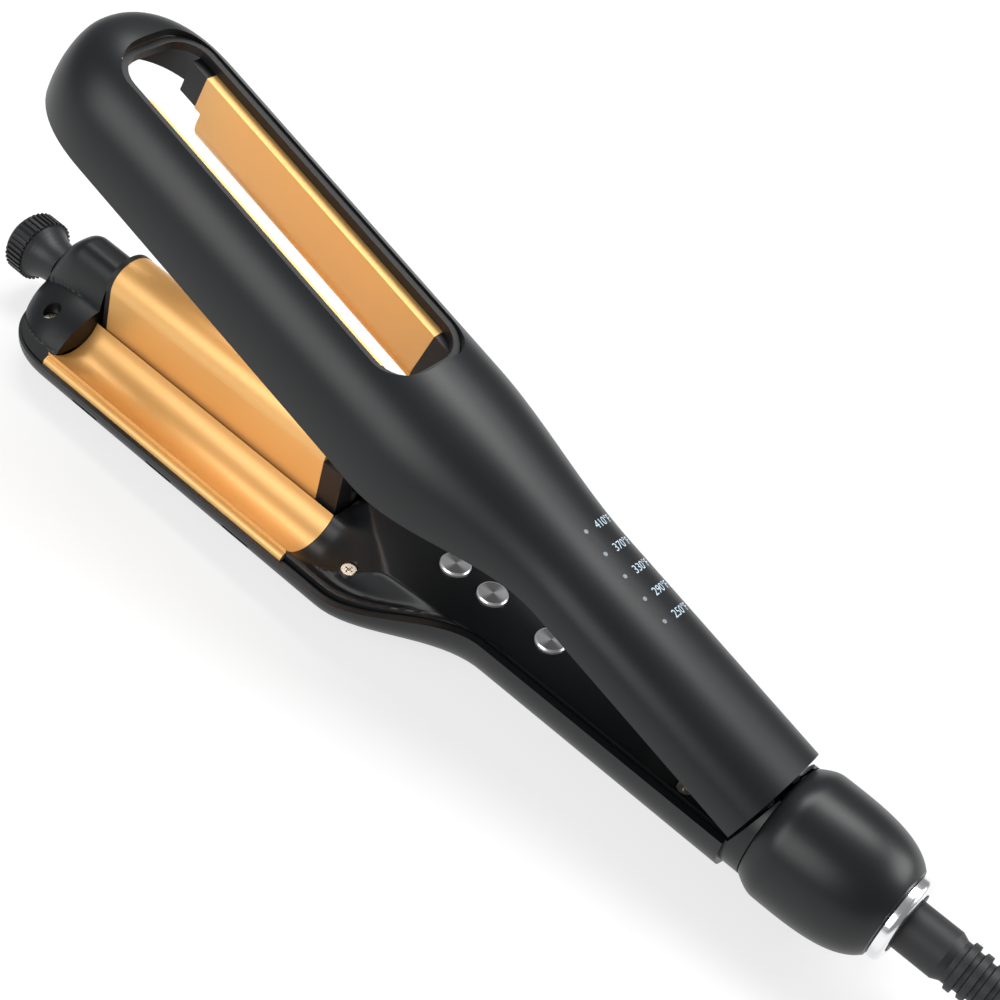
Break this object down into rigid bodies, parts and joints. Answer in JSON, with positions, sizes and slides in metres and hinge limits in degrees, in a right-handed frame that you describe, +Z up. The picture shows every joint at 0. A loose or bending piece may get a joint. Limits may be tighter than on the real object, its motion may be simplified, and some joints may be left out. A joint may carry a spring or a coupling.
{
  "type": "hair waver",
  "caption": "Corded deep hair waver with a scissor grip: concave plates and a lifting centre barrel in the lower arm, convex jaws round a long window in the upper arm, and a swivel cord",
  "frame": {"origin": "centre of the flat strip under the plates, on the surface that the lower arm stands on", "axes": "+X from the tip to the cord, +Y to the far side, +Z up, arms open as in the picture"},
  "size_m": [0.6976, 0.0622, 0.1064],
  "materials": {
    "casing": "soft matt black",
    "inner_black": "matt black",
    "gold_plate": "satin gold ceramic coat",
    "heater": "matt white",
    "board": "green solder mask",
    "steel": "brushed",
    "bright_ring": "polished",
    "copper": "insulated copper lead",
    "blades": "plated brass blades",
    "lamp": "clear lamp pin",
    "cord_rubber": "matt black rubber"
  },
  "bodies": {
    "lower": {"lower_shell": "casing", "lower_deck": "inner_black", "tip_cap": "inner_black", "trough_left": "gold_plate", "trough_right": "gold_plate", "trough_heaters": "heater", "barrel_guides": "inner_black", "control_board": "board", "tactile_switches": "steel", "supply_leads": "copper", "thermal_fuse": "heater", "deck_screws": "steel", "spring_cup": "inner_black", "tip_screw": "steel", "hinge_pin": "steel", "arm_spring": "steel", "rear_neck": "inner_black", "swivel_dome": "inner_black", "chrome_ring": "bright_ring", "cord": "cord_rubber", "cord_coil": "cord_rubber", "cord_tie": "cord_rubber", "plug_relief": "cord_rubber", "plug_body": "cord_rubber", "plug_pins": "blades"},
    "upper": {"upper_shell": "casing", "window_frame": "inner_black", "jaw_left": "gold_plate", "jaw_right": "gold_plate", "jaw_ends": "inner_black", "jaw_heaters": "heater", "upper_cover": "inner_black", "hinge_bracket": "inner_black", "lamp_board": "board", "light_pipes": "lamp", "upper_screws": "steel"},
    "lift": {"barrel": "gold_plate", "barrel_carrier": "inner_black", "barrel_heater": "heater"},
    "adjuster": {"knob": "inner_black", "lift_screw": "steel"},
    "swivel": {"swivel_collar": "inner_black", "strain_relief": "cord_rubber"},
    "power": {"button_power": "steel"},
    "plus": {"button_plus": "steel"},
    "minus": {"button_minus": "steel"}
  },
  "joints": [
    {"name": "arm_close", "type": "hinge", "parent": "lower", "child": "upper", "pos_m": [0.1903, 0, 0.0197], "axis": [0, -1, 0], "range_deg": [0, 15.2], "stiffness_Nm_per_rad": 0.6, "springref_deg": -34.38, "deforming": ["arm_spring"]},
    {"name": "barrel_lift", "type": "slide", "parent": "lower", "child": "lift", "axis": [0, 0, 1], "range_m": [-0.008, 0]},
    {"name": "knob_turn", "type": "hinge", "parent": "lower", "child": "adjuster", "pos_m": [-0.0803, 0, 0.0155], "axis": [1, 0, 0], "range_deg": [-541, 1]},
    {"name": "power_press", "type": "slide", "parent": "lower", "child": "power", "axis": [0, 0, -1], "range_m": [0, 0.0007], "stiffness_N_per_m": 600, "springref_m": -0.0008},
    {"name": "plus_press", "type": "slide", "parent": "lower", "child": "plus", "axis": [0, 0, -1], "range_m": [0, 0.0007], "stiffness_N_per_m": 600, "springref_m": -0.0008},
    {"name": "minus_press", "type": "slide", "parent": "lower", "child": "minus", "axis": [0, 0, -1], "range_m": [0, 0.0007], "stiffness_N_per_m": 600, "springref_m": -0.0008},
    {"name": "cord_swivel", "type": "hinge", "parent": "lower", "child": "swivel", "pos_m": [0.22, 0, 0.0217], "axis": [1, 0, 0], "continuous": true}
  ],
  "couplings": [
    {"joint": "knob_turn", "follows": "barrel_lift", "rad_per_m": 1178}
  ]
}
